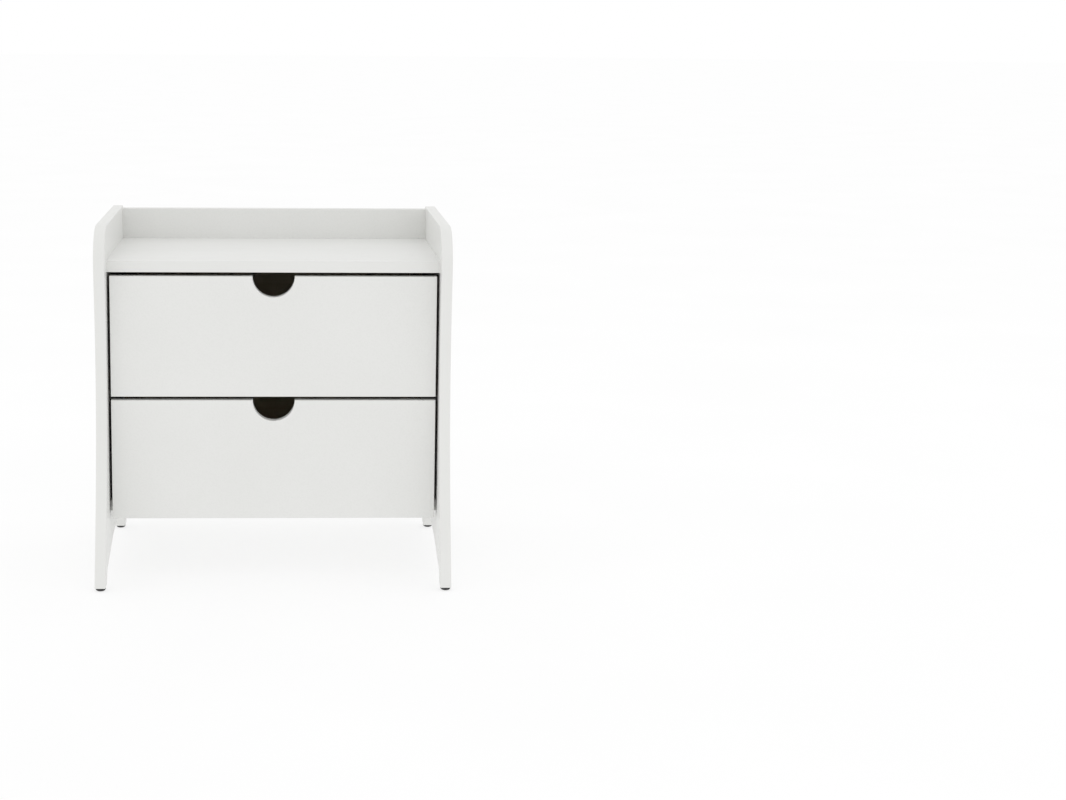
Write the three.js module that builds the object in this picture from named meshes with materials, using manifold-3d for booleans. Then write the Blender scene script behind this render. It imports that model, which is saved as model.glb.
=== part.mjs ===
// Nightstand with two drawers between two flat side panels that are cut out as feet.
// Millimetres. X to the right, the front faces -Y, +Z up. The origin is on the floor, in the
// middle of the outer box.
import * as THREE from 'three';
import { mergeVertices } from 'three/addons/utils/BufferGeometryUtils.js';
import Module from 'manifold-3d';

const wasm = await Module();
wasm.setup();

// ---------------------------------------------------------------- driving dimensions
const WIDTH = 480;
const DEPTH = 400;
const HEIGHT = 484;
const BOARD = 15;
const JOINT_GAP = 0.15;

const FOOT_H = 5;
const WALL_X = WIDTH / 2 - BOARD;
const FRONT_Y = -DEPTH / 2;
const REAR_Y = DEPTH / 2;

const TOP_BOARD_Z = 437;
const TOP_BOARD_FRONT_Y = -116;
const BOTTOM_BOARD_Z = 103;
const BOTTOM_BOARD_FRONT_Y = -97;
const BACK_SHEET = 3;
const REBATE = 8;
const RAIL_TOP_Z = 481;
const RAIL_HOUSING = 2;

const FRONT_FACE_Y = -116;
const FRONT_HALF_W = 221.15;
const FRONT_H = 165.1;
const FINGER_R = 28.6;
const DRAWERS = { lower: 81.7, upper: 251.7 };

const BOX_HALF_W = 212;
const BOX_SIDE = 12;
const BOX_REAR_Y = 186;
const BOX_LIFT = 27;
const BOX_H = 120;
const BOX_BOTTOM = 4;
const GROOVE_DEPTH = 6;
const GROOVE_LIFT = 8;

const SLIDE_FRONT_Y = -97;
const SLIDE_LENGTH = 280;
const SLIDE_LIFT = 65;
const BALL_R = 1.7;
const BALL_PITCH = 26;
const BALLS_PER_ROW = 4;
const RETAINER_LENGTH = 100;

const GLIDE_R = 7;
const GLIDE_X = WALL_X + BOARD / 2;
const GLIDE_YS = { front: -191, rear: 165.5 };
const NAIL_R = 1.2;
const NAIL_HOLE_R = 1.5;
const NAIL_HOLE_DEPTH = 15;

const CAM_R = 7.5;
const CAM_DEPTH = 12.5;
const CAM_INSET = 34;
const CAM_SLACK = 0.2;
const BOLT_BORE_R = 3.6;
const BOLT_HOLE_R = 2.9;
const BOLT_REACH = 10.6;
const BOLT_LENGTH = 44.6;
const BOLT_YS = { front: -80, rear: 120 };

const SIDE_BORE_DEPTH = 11;
const DOWEL_R = 4;
const DOWEL_LENGTH = 34;
const DOWEL_REACH = 10.5;
const DOWEL_BORE_DEPTH = 25;
const DOWEL_Z = 459;

const FRONT_BACK_Y = FRONT_FACE_Y + BOARD;
const TOP_UNDER_Z = TOP_BOARD_Z - BOARD;
const BOTTOM_UNDER_Z = BOTTOM_BOARD_Z - BOARD;
const BACK_FRONT_Y = REAR_Y - BACK_SHEET - JOINT_GAP;
const RAIL_FOOT_Z = TOP_BOARD_Z - RAIL_HOUSING;
const RAIL_Y = REAR_Y - BOARD / 2;

// ---------------------------------------------------------------- finishes
const finishes = {
  white_paint: { color: 0xe6e6e4, roughness: 0.45, metalness: 0 },
  birch_ply: { color: 0xd8c19a, roughness: 0.6, metalness: 0 },
  white_hardboard: { color: 0xdcdcd8, roughness: 0.7, metalness: 0 },
  zinc_steel: { color: 0xb4b8bb, roughness: 0.35, metalness: 0.9 },
  black_steel: { color: 0x232324, roughness: 0.4, metalness: 0.2 },
  black_plastic: { color: 0x1b1b1c, roughness: 0.5, metalness: 0 },
  cam_zinc: { color: 0x9a9ca0, roughness: 0.45, metalness: 0.8 },
  beech: { color: 0xc79a68, roughness: 0.7, metalness: 0 },
};

// ---------------------------------------------------------------- solids
function toSolid(geometry) {
  const bare = new THREE.BufferGeometry();
  bare.setAttribute('position', geometry.getAttribute('position').clone());
  bare.setIndex(geometry.getIndex());
  const merged = mergeVertices(bare, 1e-4);
  const corners = merged.getIndex().array;
  const kept = [];
  for (let i = 0; i < corners.length; i += 3) {
    const [a, b, c] = corners.slice(i, i + 3);
    if (a !== b && b !== c && c !== a) kept.push(a, b, c);
  }
  return new wasm.Manifold(new wasm.Mesh({
    numProp: 3,
    vertProperties: new Float32Array(merged.getAttribute('position').array),
    triVerts: new Uint32Array(kept),
  }));
}

function toGeometry(solid) {
  const mesh = solid.getMesh();
  const geometry = new THREE.BufferGeometry();
  geometry.setAttribute('position', new THREE.BufferAttribute(mesh.vertProperties, 3));
  geometry.setIndex(new THREE.BufferAttribute(mesh.triVerts, 1));
  geometry.computeVertexNormals();
  return geometry;
}

function block([x0, x1], [y0, y1], [z0, z1]) {
  const geometry = new THREE.BoxGeometry(Math.abs(x1 - x0), y1 - y0, z1 - z0);
  geometry.translate((x0 + x1) / 2, (y0 + y1) / 2, (z0 + z1) / 2);
  return toSolid(geometry);
}

// A turned piece from a profile of [radius, distance], standing at a place along a direction.
function turned(profile, at, direction, segments) {
  const outline = profile.map(([r, d]) => new THREE.Vector2(r, d));
  const geometry = new THREE.LatheGeometry(outline, segments);
  const turn = new THREE.Quaternion().setFromUnitVectors(
    new THREE.Vector3(0, 1, 0), new THREE.Vector3(...direction));
  geometry.applyQuaternion(turn);
  geometry.translate(...at);
  return toSolid(geometry);
}

function pin(radius, length, at, direction, segments = 12) {
  return turned([[0, 0], [radius, 0], [radius, length], [0, length]], at, direction, segments);
}

// Outline in Y and Z, swept from x0 to x1.
function sweepX(outline, x0, x1, curveSegments = 12) {
  const geometry = new THREE.ExtrudeGeometry(
    outline, { depth: x1 - x0, bevelEnabled: false, curveSegments });
  geometry.applyMatrix4(new THREE.Matrix4().set(
    0, 0, 1, x0,
    1, 0, 0, 0,
    0, 1, 0, 0,
    0, 0, 0, 1));
  return toSolid(geometry);
}

// Outline in X and Z, swept from y0 to y1.
function sweepY(outline, y0, y1, curveSegments = 12) {
  const geometry = new THREE.ExtrudeGeometry(
    outline, { depth: y1 - y0, bevelEnabled: false, curveSegments });
  geometry.applyMatrix4(new THREE.Matrix4().set(
    1, 0, 0, 0,
    0, 0, -1, y1,
    0, 1, 0, 0,
    0, 0, 0, 1));
  return toSolid(geometry);
}

function cut(solid, ...tools) {
  return tools.reduce((rest, tool) => rest.subtract(tool), solid);
}

function mesh(name, solid, finish) {
  const part = new THREE.Mesh(toGeometry(solid), new THREE.MeshStandardMaterial(finishes[finish]));
  part.name = name;
  return part;
}

const SIDES = { left: -1, right: 1 };

// Limits along X of something between two distances from the middle, on one side.
function spanX(sign, near, far) {
  return sign < 0 ? [-far, -near] : [near, far];
}

// ---------------------------------------------------------------- side panels
// Points of the outline in Y and Z. Each smooth stretch is a curve between two points, with a
// handle at each end that gives its direction and strength there.
const point = (y, z) => new THREE.Vector2(y, z);

const TOE = point(FRONT_Y, FOOT_H);
const TOE_HANDLE = point(10, 40);
const WAIST = point(-134.5, 290);
const WAIST_HANDLE_DOWN = point(0, -140);
const WAIST_HANDLE_UP = point(0, 90);
const SHOULDER = point(-146, 440);
const SHOULDER_HANDLE_DOWN = point(0, -40);
const SHOULDER_HANDLE_UP = point(0, 17);
const TOP_CORNER = point(-90, HEIGHT);
const TOP_CORNER_HANDLE = point(-39, 0);
const REAR_TOP = point(REAR_Y, HEIGHT);
const HEEL_START = point(REAR_Y, BOTTOM_UNDER_Z);
const HEEL_START_HANDLE = point(0, -35);
const HEEL = point(178, FOOT_H);
const HEEL_HANDLE = point(4, 32);
const REAR_FOOT = point(153, FOOT_H);
const REAR_FOOT_HANDLE = point(-2, 20);
const ARCH_TOP = point(30, 49);
const ARCH_HANDLE_REAR = point(95, 0);
const ARCH_HANDLE_FRONT = point(-110, 0);
const ARCH_START = point(-162, 23);
const ARCH_START_HANDLE = point(80, 16);
const FRONT_FOOT = point(-175, FOOT_H);
const FRONT_FOOT_BEND = point(-172, 21);

function curveTo(outline, from, fromHandle, toHandle, to) {
  outline.bezierCurveTo(
    from.x + fromHandle.x, from.y + fromHandle.y, to.x + toHandle.x, to.y + toHandle.y, to.x, to.y);
}

function sidePanelOutline() {
  const outline = new THREE.Shape();
  outline.moveTo(TOE.x, TOE.y);
  curveTo(outline, TOE, TOE_HANDLE, WAIST_HANDLE_DOWN, WAIST);
  curveTo(outline, WAIST, WAIST_HANDLE_UP, SHOULDER_HANDLE_DOWN, SHOULDER);
  curveTo(outline, SHOULDER, SHOULDER_HANDLE_UP, TOP_CORNER_HANDLE, TOP_CORNER);
  outline.lineTo(REAR_TOP.x, REAR_TOP.y);
  outline.lineTo(HEEL_START.x, HEEL_START.y);
  curveTo(outline, HEEL_START, HEEL_START_HANDLE, HEEL_HANDLE, HEEL);
  outline.lineTo(REAR_FOOT.x, REAR_FOOT.y);
  curveTo(outline, REAR_FOOT, REAR_FOOT_HANDLE, ARCH_HANDLE_REAR, ARCH_TOP);
  curveTo(outline, ARCH_TOP, ARCH_HANDLE_FRONT, ARCH_START_HANDLE, ARCH_START);
  outline.quadraticCurveTo(FRONT_FOOT_BEND.x, FRONT_FOOT_BEND.y, FRONT_FOOT.x, FRONT_FOOT.y);
  outline.closePath();
  return outline;
}

function boltHeights() {
  return { top: TOP_UNDER_Z + BOARD / 2, bottom: BOTTOM_UNDER_Z + BOARD / 2 };
}

function sidePanel(sign) {
  const [x0, x1] = spanX(sign, WALL_X, WIDTH / 2);
  let panel = sweepX(sidePanelOutline(), x0, x1, 16);
  const rebate = block(
    spanX(sign, WALL_X - 1, WALL_X + REBATE), [BACK_FRONT_Y, REAR_Y + 1],
    [BOTTOM_UNDER_Z, RAIL_FOOT_Z]);
  panel = cut(panel, rebate);
  for (const z of Object.values(boltHeights())) {
    for (const y of Object.values(BOLT_YS)) {
      panel = cut(panel, pin(
        BOLT_HOLE_R, SIDE_BORE_DEPTH + 1, [sign * (WALL_X - 1), y, z], [sign, 0, 0], 8));
    }
  }
  panel = cut(panel, pin(
    DOWEL_R + JOINT_GAP, SIDE_BORE_DEPTH + 1, [sign * (WALL_X - 1), RAIL_Y, DOWEL_Z], [sign, 0, 0]));
  for (const y of Object.values(GLIDE_YS)) {
    panel = cut(panel, pin(
      NAIL_HOLE_R, NAIL_HOLE_DEPTH + 1, [sign * GLIDE_X, y, FOOT_H - 1], [0, 0, 1], 8));
  }
  return panel;
}

// A domed plastic glide with the nail that holds it in the foot.
function glide(sign, y) {
  const profile = [
    [0, 0], [3.2, 0], [5.9, 1.2], [GLIDE_R, 3.4], [GLIDE_R, FOOT_H - 0.1],
    [NAIL_R, FOOT_H - 0.1], [NAIL_R, 17], [0, 18.5],
  ];
  return turned(profile, [sign * GLIDE_X, y, 0], [0, 0, 1], 12);
}

// ---------------------------------------------------------------- boards of the cabinet
// A board held to both side panels by two cams at each end, their bores open underneath.
function camBoard(frontY, underZ) {
  const halfWidth = WALL_X - JOINT_GAP;
  let board = block(
    [-halfWidth, halfWidth], [frontY, BACK_FRONT_Y - JOINT_GAP], [underZ, underZ + BOARD]);
  for (const sign of Object.values(SIDES)) {
    for (const y of Object.values(BOLT_YS)) {
      const camX = sign * (WALL_X - CAM_INSET);
      const camBore = pin(
        CAM_R + CAM_SLACK, CAM_DEPTH + CAM_SLACK + 1, [camX, y, underZ - 1], [0, 0, 1]);
      const boltBore = pin(
        BOLT_BORE_R, CAM_INSET + 1, [sign * (WALL_X + 1), y, underZ + BOARD / 2], [-sign, 0, 0], 8);
      board = cut(board, camBore, boltBore);
    }
  }
  return board;
}

const HEAD_POCKET = { inner: -3.6, outer: 4.1, half: 4 };
const NECK_SLOT = { inner: 2, half: 2.1 };
const DRIVER_RECESS = { reach: 4, half: 0.6, depth: 2.2 };

// A cam: a short drum with a side slot for the bolt's head and a cross recess for the driver.
function cam(sign, y, underZ) {
  const x = sign * (WALL_X - CAM_INSET);
  const middle = underZ + BOARD / 2;
  const above = underZ + CAM_DEPTH + 1;
  const slot = (inner, outer, half) => block(
    spanX(sign, Math.abs(x) + inner, Math.abs(x) + outer), [y - half, y + half],
    [middle - half, above]);
  const recess = (reachX, reachY) => block(
    [x - reachX, x + reachX], [y - reachY, y + reachY], [underZ, underZ + DRIVER_RECESS.depth]);
  return cut(
    pin(CAM_R, CAM_DEPTH - CAM_SLACK, [x, y, underZ + CAM_SLACK / 2], [0, 0, 1]),
    slot(HEAD_POCKET.inner, HEAD_POCKET.outer, HEAD_POCKET.half),
    slot(NECK_SLOT.inner, CAM_R + 1, NECK_SLOT.half),
    recess(DRIVER_RECESS.reach, DRIVER_RECESS.half),
    recess(DRIVER_RECESS.half, DRIVER_RECESS.reach));
}

// A cam bolt, from its threaded end in the side panel to its ball head inside the cam.
function camBolt(sign, y, z) {
  const profile = [
    [0, 0], [2.5, 0.6], [2.5, 10.8], [3.2, 10.8], [3.2, 12.1], [1.6, 12.4], [1.6, 40.6],
    [3, 41.4], [3, 44], [0, BOLT_LENGTH],
  ];
  return turned(profile, [sign * (WALL_X + BOLT_REACH), y, z], [-sign, 0, 0], 8);
}

// The top board, with the shallow housing along its back that the gallery rail stands in.
function topBoard() {
  const housing = block(
    [-WALL_X, WALL_X], [REAR_Y - BOARD - JOINT_GAP, REAR_Y], [RAIL_FOOT_Z, TOP_BOARD_Z + 1]);
  return cut(camBoard(TOP_BOARD_FRONT_Y, TOP_UNDER_Z), housing);
}

function galleryRail() {
  const halfWidth = WALL_X - JOINT_GAP;
  let rail = block(
    [-halfWidth, halfWidth], [REAR_Y - BOARD, REAR_Y], [RAIL_FOOT_Z + JOINT_GAP, RAIL_TOP_Z]);
  for (const sign of Object.values(SIDES)) {
    rail = cut(rail, pin(
      DOWEL_R + JOINT_GAP, DOWEL_BORE_DEPTH + 1, [sign * (WALL_X + 1), RAIL_Y, DOWEL_Z],
      [-sign, 0, 0]));
  }
  return rail;
}

function railDowel(sign) {
  const tipR = DOWEL_R - 0.8;
  const profile = [
    [0, 0], [tipR, 0], [DOWEL_R, 1], [DOWEL_R, DOWEL_LENGTH - 1], [tipR, DOWEL_LENGTH],
    [0, DOWEL_LENGTH],
  ];
  return turned(profile, [sign * (WALL_X + DOWEL_REACH), RAIL_Y, DOWEL_Z], [-sign, 0, 0], 12);
}

function backPanel() {
  const halfWidth = WALL_X + REBATE - JOINT_GAP;
  return block(
    [-halfWidth, halfWidth], [REAR_Y - BACK_SHEET, REAR_Y],
    [BOTTOM_UNDER_Z + JOINT_GAP, RAIL_FOOT_Z - JOINT_GAP]);
}

// ---------------------------------------------------------------- drawers
function drawerFront(z) {
  const topZ = z + FRONT_H;
  const outline = new THREE.Shape();
  outline.moveTo(-FRONT_HALF_W, z);
  outline.lineTo(FRONT_HALF_W, z);
  outline.lineTo(FRONT_HALF_W, topZ);
  outline.lineTo(FINGER_R, topZ);
  outline.absarc(0, topZ, FINGER_R, 0, -Math.PI, true);
  outline.lineTo(-FRONT_HALF_W, topZ);
  outline.closePath();
  const front = sweepY(outline, FRONT_FACE_Y, FRONT_BACK_Y, 40);
  const grooveZ = z + BOX_LIFT + GROOVE_LIFT;
  const groove = block(
    [-BOX_HALF_W + GROOVE_DEPTH, BOX_HALF_W - GROOVE_DEPTH],
    [FRONT_BACK_Y - GROOVE_DEPTH, FRONT_BACK_Y + 1],
    [grooveZ - JOINT_GAP, grooveZ + BOX_BOTTOM + JOINT_GAP]);
  return cut(front, groove);
}

function drawerSide(sign, boxZ) {
  const grooveZ = boxZ + GROOVE_LIFT;
  const inner = BOX_HALF_W - BOX_SIDE;
  const side = block(
    spanX(sign, inner, BOX_HALF_W), [FRONT_BACK_Y + 0.1, BOX_REAR_Y], [boxZ, boxZ + BOX_H]);
  const groove = block(
    spanX(sign, inner - 1, inner + GROOVE_DEPTH), [FRONT_BACK_Y, BOX_REAR_Y + 1],
    [grooveZ - JOINT_GAP, grooveZ + BOX_BOTTOM + JOINT_GAP]);
  return cut(side, groove);
}

function drawerBack(boxZ) {
  const grooveZ = boxZ + GROOVE_LIFT;
  const halfWidth = BOX_HALF_W - BOX_SIDE - 0.1;
  const frontY = BOX_REAR_Y - BOX_SIDE;
  const back = block([-halfWidth, halfWidth], [frontY, BOX_REAR_Y], [boxZ, boxZ + BOX_H]);
  const groove = block(
    [-halfWidth - 1, halfWidth + 1], [frontY - 1, frontY + GROOVE_DEPTH],
    [grooveZ - JOINT_GAP, grooveZ + BOX_BOTTOM + JOINT_GAP]);
  return cut(back, groove);
}

function drawerBottom(boxZ) {
  const halfWidth = BOX_HALF_W - BOX_SIDE + GROOVE_DEPTH - 0.2;
  const z = boxZ + GROOVE_LIFT;
  return block(
    [-halfWidth, halfWidth],
    [FRONT_BACK_Y - GROOVE_DEPTH + 0.2, BOX_REAR_Y - BOX_SIDE + GROOVE_DEPTH - 0.2],
    [z, z + BOX_BOTTOM]);
}

// ---------------------------------------------------------------- ball-bearing slides
// Each section is a channel of sheet steel. Its web stands at one distance from the cabinet's
// wall and its two flanges end at another; half is half its height, and lip turns inwards.
const OUTER = { web: 0.15, tip: 9.5, half: 22.5, sheet: 1.2, lip: 3.5 };
const MIDDLE = { web: 2.4, tip: 10.4, half: 17.5, sheet: 1.2, lip: 0 };
const INNER = { web: 12.85, tip: 5, half: 12.5, sheet: 1.2, lip: 0 };
const OUTER_RETAINER = { web: 1.6, tip: 7.4, half: 19.7, sheet: 0.5, lip: 0 };
const INNER_RETAINER = { web: 4, tip: 10, half: 14.7, sheet: 0.6, lip: 0 };
const OUTER_BALLS = { off: 5, height: 19.4 };
const INNER_BALLS = { off: 7.7, height: 14.4 };

function channelOutline({ web, tip, half, sheet, lip }, sign, z) {
  const inward = Math.sign(tip - web) * sheet;
  const upper = [[web, half], [tip, half]];
  if (lip > 0) {
    upper.push([tip, half - lip], [tip - inward, half - lip], [tip - inward, half - sheet]);
  } else {
    upper.push([tip, half - sheet]);
  }
  upper.push([web + inward, half - sheet]);
  const lower = upper.map(([off, height]) => [off, -height]).reverse();
  const points = [...upper, ...lower].map(
    ([off, height]) => new THREE.Vector2(sign * (WALL_X - off), z + height));
  return new THREE.Shape(points);
}

function channel(section, sign, z, frontY = SLIDE_FRONT_Y, length = SLIDE_LENGTH) {
  return sweepY(channelOutline(section, sign, z), frontY, frontY + length);
}

function retainer(section, balls, sign, z) {
  const middleY = SLIDE_FRONT_Y + SLIDE_LENGTH / 2;
  let strip = channel(section, sign, z, middleY - RETAINER_LENGTH / 2, RETAINER_LENGTH);
  for (const row of [-1, 1]) {
    for (let i = 0; i < BALLS_PER_ROW; i += 1) {
      const ball = new THREE.OctahedronGeometry(BALL_R, 0);
      const y = middleY + (i - (BALLS_PER_ROW - 1) / 2) * BALL_PITCH;
      ball.translate(sign * (WALL_X - balls.off), y, z + row * balls.height);
      strip = strip.add(toSolid(ball));
    }
  }
  return strip;
}

// ---------------------------------------------------------------- assembly
function cabinet() {
  const group = new THREE.Group();
  group.add(
    mesh('top_board', topBoard(), 'white_paint'),
    mesh('bottom_board', camBoard(BOTTOM_BOARD_FRONT_Y, BOTTOM_UNDER_Z), 'white_paint'),
    mesh('gallery_rail', galleryRail(), 'white_paint'),
    mesh('back_panel', backPanel(), 'white_hardboard'));
  for (const [side, sign] of Object.entries(SIDES)) {
    group.add(
      mesh(`side_panel_${side}`, sidePanel(sign), 'white_paint'),
      mesh(`rail_dowel_${side}`, railDowel(sign), 'beech'));
    for (const [end, y] of Object.entries(GLIDE_YS)) {
      group.add(mesh(`glide_${end}_${side}`, glide(sign, y), 'black_plastic'));
    }
    for (const [end, y] of Object.entries(BOLT_YS)) {
      for (const [level, z] of Object.entries(boltHeights())) {
        group.add(
          mesh(`cam_${level}_${end}_${side}`, cam(sign, y, z - BOARD / 2), 'cam_zinc'),
          mesh(`cam_bolt_${level}_${end}_${side}`, camBolt(sign, y, z), 'zinc_steel'));
      }
    }
    for (const [level, z] of Object.entries(DRAWERS)) {
      group.add(mesh(
        `slide_outer_${level}_${side}`, channel(OUTER, sign, z + SLIDE_LIFT), 'black_steel'));
    }
  }
  return group;
}

function drawer(level, z) {
  const group = new THREE.Group();
  const boxZ = z + BOX_LIFT;
  group.add(
    mesh(`drawer_front_${level}`, drawerFront(z), 'white_paint'),
    mesh(`drawer_back_${level}`, drawerBack(boxZ), 'birch_ply'),
    mesh(`drawer_bottom_${level}`, drawerBottom(boxZ), 'birch_ply'));
  for (const [side, sign] of Object.entries(SIDES)) {
    group.add(
      mesh(`drawer_side_${level}_${side}`, drawerSide(sign, boxZ), 'birch_ply'),
      mesh(`slide_inner_${level}_${side}`, channel(INNER, sign, z + SLIDE_LIFT), 'black_steel'));
  }
  return group;
}

function slideFollowers(level, z) {
  const group = new THREE.Group();
  const slideZ = z + SLIDE_LIFT;
  for (const [side, sign] of Object.entries(SIDES)) {
    group.add(
      mesh(`slide_middle_${level}_${side}`, channel(MIDDLE, sign, slideZ), 'black_steel'),
      mesh(`ball_strip_outer_${level}_${side}`,
        retainer(OUTER_RETAINER, OUTER_BALLS, sign, slideZ), 'zinc_steel'),
      mesh(`ball_strip_inner_${level}_${side}`,
        retainer(INNER_RETAINER, INNER_BALLS, sign, slideZ), 'zinc_steel'));
  }
  return group;
}

const nightstand = new THREE.Group();
nightstand.add(cabinet());
for (const [level, z] of Object.entries(DRAWERS)) {
  nightstand.add(drawer(level, z), slideFollowers(level, z));
}

export default nightstand;
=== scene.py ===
"""The looks of a white nightstand with two drawers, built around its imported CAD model, in metres."""

import math

import bmesh
import bpy
from mathutils import Matrix, Vector


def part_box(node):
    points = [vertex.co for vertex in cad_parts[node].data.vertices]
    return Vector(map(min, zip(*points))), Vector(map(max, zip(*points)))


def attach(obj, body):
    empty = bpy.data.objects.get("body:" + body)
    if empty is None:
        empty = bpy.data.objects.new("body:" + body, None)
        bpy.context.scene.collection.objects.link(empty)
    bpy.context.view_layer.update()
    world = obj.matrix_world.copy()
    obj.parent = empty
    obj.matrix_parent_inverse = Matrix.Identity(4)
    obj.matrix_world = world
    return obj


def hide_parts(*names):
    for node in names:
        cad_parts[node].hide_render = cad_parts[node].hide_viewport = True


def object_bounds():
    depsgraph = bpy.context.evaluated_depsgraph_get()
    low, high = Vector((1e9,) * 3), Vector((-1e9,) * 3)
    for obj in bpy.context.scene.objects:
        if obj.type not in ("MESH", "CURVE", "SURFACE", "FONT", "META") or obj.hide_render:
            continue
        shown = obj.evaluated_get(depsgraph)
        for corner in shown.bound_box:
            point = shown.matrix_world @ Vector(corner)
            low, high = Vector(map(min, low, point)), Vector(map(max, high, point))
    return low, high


MM = 0.001
AXES = {"x": 0, "y": 1, "z": 2}
SIDES = {"left": -1, "right": 1}
LEVELS = ("upper", "lower")
ENDS = ("front", "rear")
CAM_BOARDS = ("top", "bottom")

# Rounded edges, as the radius that the real edge has.
PANEL_EDGE = 1.2 * MM
BOARD_EDGE = 0.6 * MM
PLY_EDGE = 0.8 * MM
SHEET_EDGE = 0.4 * MM
EDGE_STEPS = 4

# Flats round a turned piece.
DRILL_STEPS = 24
SCREW_STEPS = 24
GLIDE_STEPS = 48
NAIL_STEPS = 16
CAM_STEPS = 40
BOLT_STEPS = 28

# An edge that turns by more than this many degrees stays crisp when the mesh is smooth shaded.
CRISP_ANGLE = 38
SLIDE_CRISP_ANGLE = 30

PAST = 1 * MM  # how far a cutter reaches out of the surface that it cuts
CUTTER_EDGE = 0.01 * MM  # the radius of a square cutter's edges, which are all but sharp
FIT_GAP = 0.15 * MM  # between a piece and the groove, rabbet or hole that it sits in
SAME_POINT = 0.001 * MM  # points nearer than this are one point
SAME_WAY = 0.99  # cosine above which two directions count as one

# Camera: where it stands, how many degrees it is turned from looking straight along +Y, its lens
# and sensor in millimetres, its shift as a share of the sensor, and how far it sees in metres.
CAMERA_AT = Vector((0.0135, -2.9133, 0.7612))
CAMERA_PAN = 2.204
CAMERA_TILT = 10.403
CAMERA_ROLL = 0.411
CAMERA_LENS = 70.34
CAMERA_SENSOR = 36
CAMERA_SHIFT_X = 0.16
CAMERA_REACH = 200

# Studio: a soft light on each side, given for the right one, and a round floor that glows.
LIGHT_AT = (2.9, -0.4, 1.3)
LIGHT_SIZE = 2.4
LIGHT_POWER = 4
FLOOR_R = 40
FLOOR_STEPS = 96
FLOOR_GLOW = 0.72

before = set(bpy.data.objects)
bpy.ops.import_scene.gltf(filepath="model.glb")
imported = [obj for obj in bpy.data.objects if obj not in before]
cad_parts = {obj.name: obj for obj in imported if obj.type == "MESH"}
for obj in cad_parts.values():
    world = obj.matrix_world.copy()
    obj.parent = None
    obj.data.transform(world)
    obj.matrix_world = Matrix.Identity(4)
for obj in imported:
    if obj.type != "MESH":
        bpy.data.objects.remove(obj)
cad_low, cad_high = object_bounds()


# ---------------------------------------------------------------- materials
class Finish:
    """A material with its node tree, and short ways to add nodes to it."""

    def __init__(self, name, roughness, metallic=0.0, specular=0.5):
        self.material = bpy.data.materials.new(name)
        self.material.use_nodes = True
        self.tree = self.material.node_tree
        self.shader = self.tree.nodes["Principled BSDF"]
        self.shader.inputs["Roughness"].default_value = roughness
        self.shader.inputs["Metallic"].default_value = metallic
        self.shader.inputs["Specular IOR Level"].default_value = specular
        self.place = self.tree.nodes.new("ShaderNodeTexCoord").outputs["Object"]

    def feed(self, socket, value):
        """Gives a node's input its value: another node's output, a colour or a number."""
        if isinstance(value, bpy.types.NodeSocket):
            self.tree.links.new(value, socket)
        elif isinstance(value, tuple):
            socket.default_value = (*value, 1)
        else:
            socket.default_value = value

    def node(self, kind, **inputs):
        """A new node, with values for these of its inputs."""
        made = self.tree.nodes.new(kind)
        for key, value in inputs.items():
            self.feed(made.inputs[key.replace("_", " ")], value)
        return made

    def drawn_out(self, axis, across, along):
        """Object coordinates times one factor along an axis and another across it."""
        scale = [across] * 3
        scale[AXES[axis]] = along
        mapping = self.node("ShaderNodeMapping", Vector=self.place)
        mapping.inputs["Scale"].default_value = scale
        return mapping.outputs["Vector"]

    def noise(self, vector, scale, detail=2.0, roughness=0.5):
        made = self.node("ShaderNodeTexNoise", Vector=vector, Scale=scale, Detail=detail,
                         Roughness=roughness)
        return made.outputs["Fac"]

    def ramp(self, value, *stops):
        """A colour from a value, through stops of (position, colour)."""
        made = self.node("ShaderNodeValToRGB", Fac=value)
        band = made.color_ramp
        while len(band.elements) < len(stops):
            band.elements.new(0.5)
        for element, (position, colour) in zip(band.elements, stops):
            element.position = position
            element.color = (*colour, 1)
        return made.outputs["Color"]

    def spread(self, value, low, high):
        """A value from 0..1 stretched to low..high."""
        made = self.node("ShaderNodeMapRange", Value=value)
        made.inputs["To Min"].default_value = low
        made.inputs["To Max"].default_value = high
        return made.outputs["Result"]

    def mixed(self, factor, first, second):
        """The first colour, with the second over it by a factor."""
        made = self.tree.nodes.new("ShaderNodeMix")
        made.data_type = "RGBA"
        for key, value in (("Factor_Float", factor), ("A_Color", first), ("B_Color", second)):
            self.feed(next(s for s in made.inputs if s.identifier == key), value)
        return next(s for s in made.outputs if s.identifier == "Result_Color")

    def maths(self, operation, first, second):
        made = self.tree.nodes.new("ShaderNodeMath")
        made.operation = operation
        self.feed(made.inputs[0], first)
        self.feed(made.inputs[1], second)
        return made.outputs[0]

    def bump(self, height, depth, strength, below=None):
        """Relief of a depth in millimetres, on top of the relief below it."""
        made = self.node("ShaderNodeBump", Height=height, Distance=depth * MM, Strength=strength)
        if below is not None:
            self.tree.links.new(below, made.inputs["Normal"])
        return made.outputs["Normal"]

    def use(self, **sockets):
        """The finished material, with each of these sockets of its shader linked."""
        for key, value in sockets.items():
            self.tree.links.new(value, self.shader.inputs[key.replace("_", " ")])
        return self.material


def white_paint():
    """Sprayed satin lacquer on fibreboard: nearly even, with a faint orange peel whose hollows carry
    painted shade.
    """
    f = Finish("white_paint", 0.42)
    clouds = f.noise(f.place, 7, 3)
    peel = f.noise(f.place, 420, 1.5)
    specks = f.noise(f.place, 1900, 1)
    coat = f.ramp(clouds, (0.3, (0.771, 0.774, 0.755)), (0.7, (0.789, 0.791, 0.774)))
    # painted shade: the colour is darkened in the hollows of the orange peel, where shade would fall,
    # on top of their bump
    peel_shade = f.ramp(peel, (0.38, (0.1, 0.1, 0.1)), (0.52, (0, 0, 0)))
    colour = f.mixed(peel_shade, coat, (0.66, 0.66, 0.64))
    coarse = f.bump(peel, 0.12, 0.5)
    return f.use(Base_Color=colour, Roughness=f.spread(f.noise(f.place, 38, 3), 0.34, 0.48),
                 Normal=f.bump(specks, 0.03, 0.35, coarse))


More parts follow.
